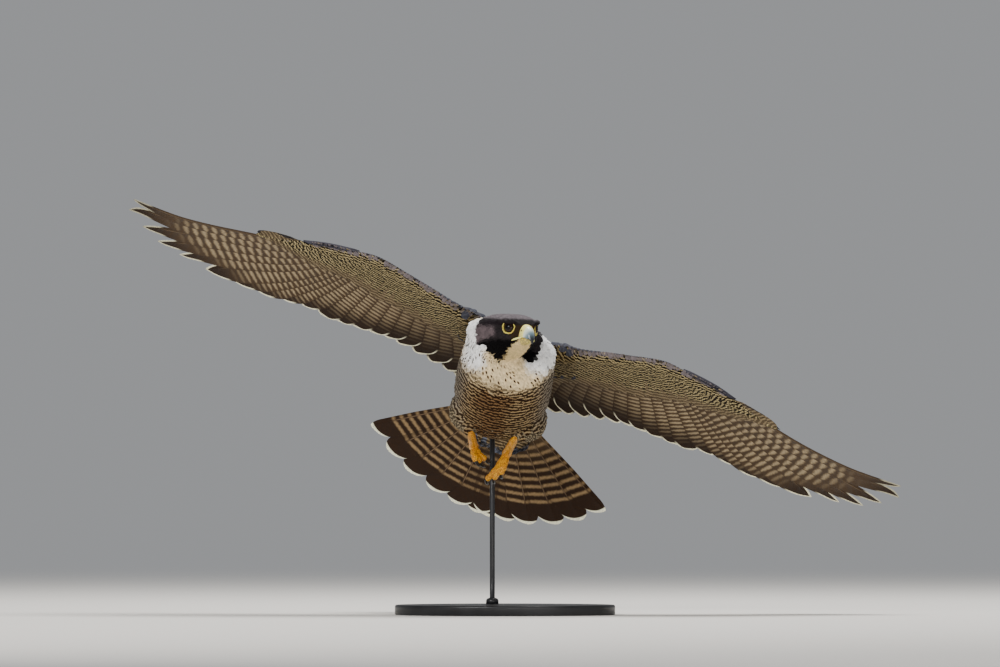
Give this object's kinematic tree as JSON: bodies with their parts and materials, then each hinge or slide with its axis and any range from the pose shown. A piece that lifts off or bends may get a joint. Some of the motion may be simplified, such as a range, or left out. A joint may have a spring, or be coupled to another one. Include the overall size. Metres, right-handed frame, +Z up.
{
  "type": "still model of a peregrine falcon in flight",
  "caption": "Life-size still model of an adult peregrine falcon in banking flight with spread wings and fanned tail, on a plain stand.",
  "frame": {"origin": "middle of the stand base's underside, on the surface that the base stands on", "axes": "+Z up; the viewer of the front stands on the -Y side and the bird faces that viewer; +X runs to the viewer's right, towards the bird's left wing"},
  "size_m": [0.9149, 0.3771, 0.4924],
  "materials": {
    "body_plumage": "matte",
    "hood_plumage": "matte",
    "flight_feathers": "matte",
    "bill_horn": "satin",
    "eye": "gloss",
    "leg_skin": "satin",
    "claw_horn": "satin",
    "stand_metal": "satin"
  },
  "bodies": {
    "root": {"trunk": "body_plumage", "neck": "body_plumage", "head": "hood_plumage", "bill_upper": "bill_horn", "bill_lower": "bill_horn", "eye_left": "eye", "eye_right": "eye", "wing_left": "flight_feathers", "wing_right": "flight_feathers", "tail": "flight_feathers", "thigh_left": "body_plumage", "thigh_right": "body_plumage", "foot_left": "leg_skin", "foot_right": "leg_skin", "stand_base": "stand_metal", "stand_rod": "stand_metal"}
  },
  "joints": []
}
